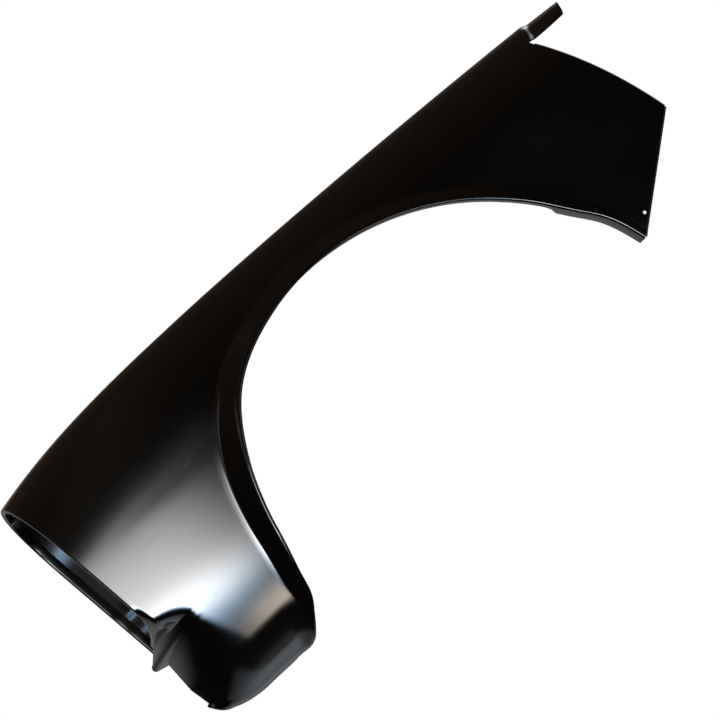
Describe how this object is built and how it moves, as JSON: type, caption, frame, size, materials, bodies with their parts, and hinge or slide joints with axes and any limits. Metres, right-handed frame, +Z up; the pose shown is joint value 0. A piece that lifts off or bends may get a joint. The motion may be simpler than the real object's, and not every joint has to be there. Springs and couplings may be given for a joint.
{
  "type": "car fender",
  "caption": "Left front steel fender for a car, with a flared wheel-arch lip, a round lamp opening, a bumper recess and a drilled bolt flange along the hood.",
  "frame": {"origin": "on the underside of the bolt flange along the hood, in the middle of its width, straight above the middle of the wheel arch", "axes": "+X towards the rear of the car, +Y towards the middle of the car, +Z up as fitted"},
  "size_m": [1.0987, 0.262, 0.4796],
  "materials": {
    "black_primer": "silky black primer over pressed steel"
  },
  "bodies": {
    "root": {"fender_panel": "black_primer"}
  },
  "joints": []
}
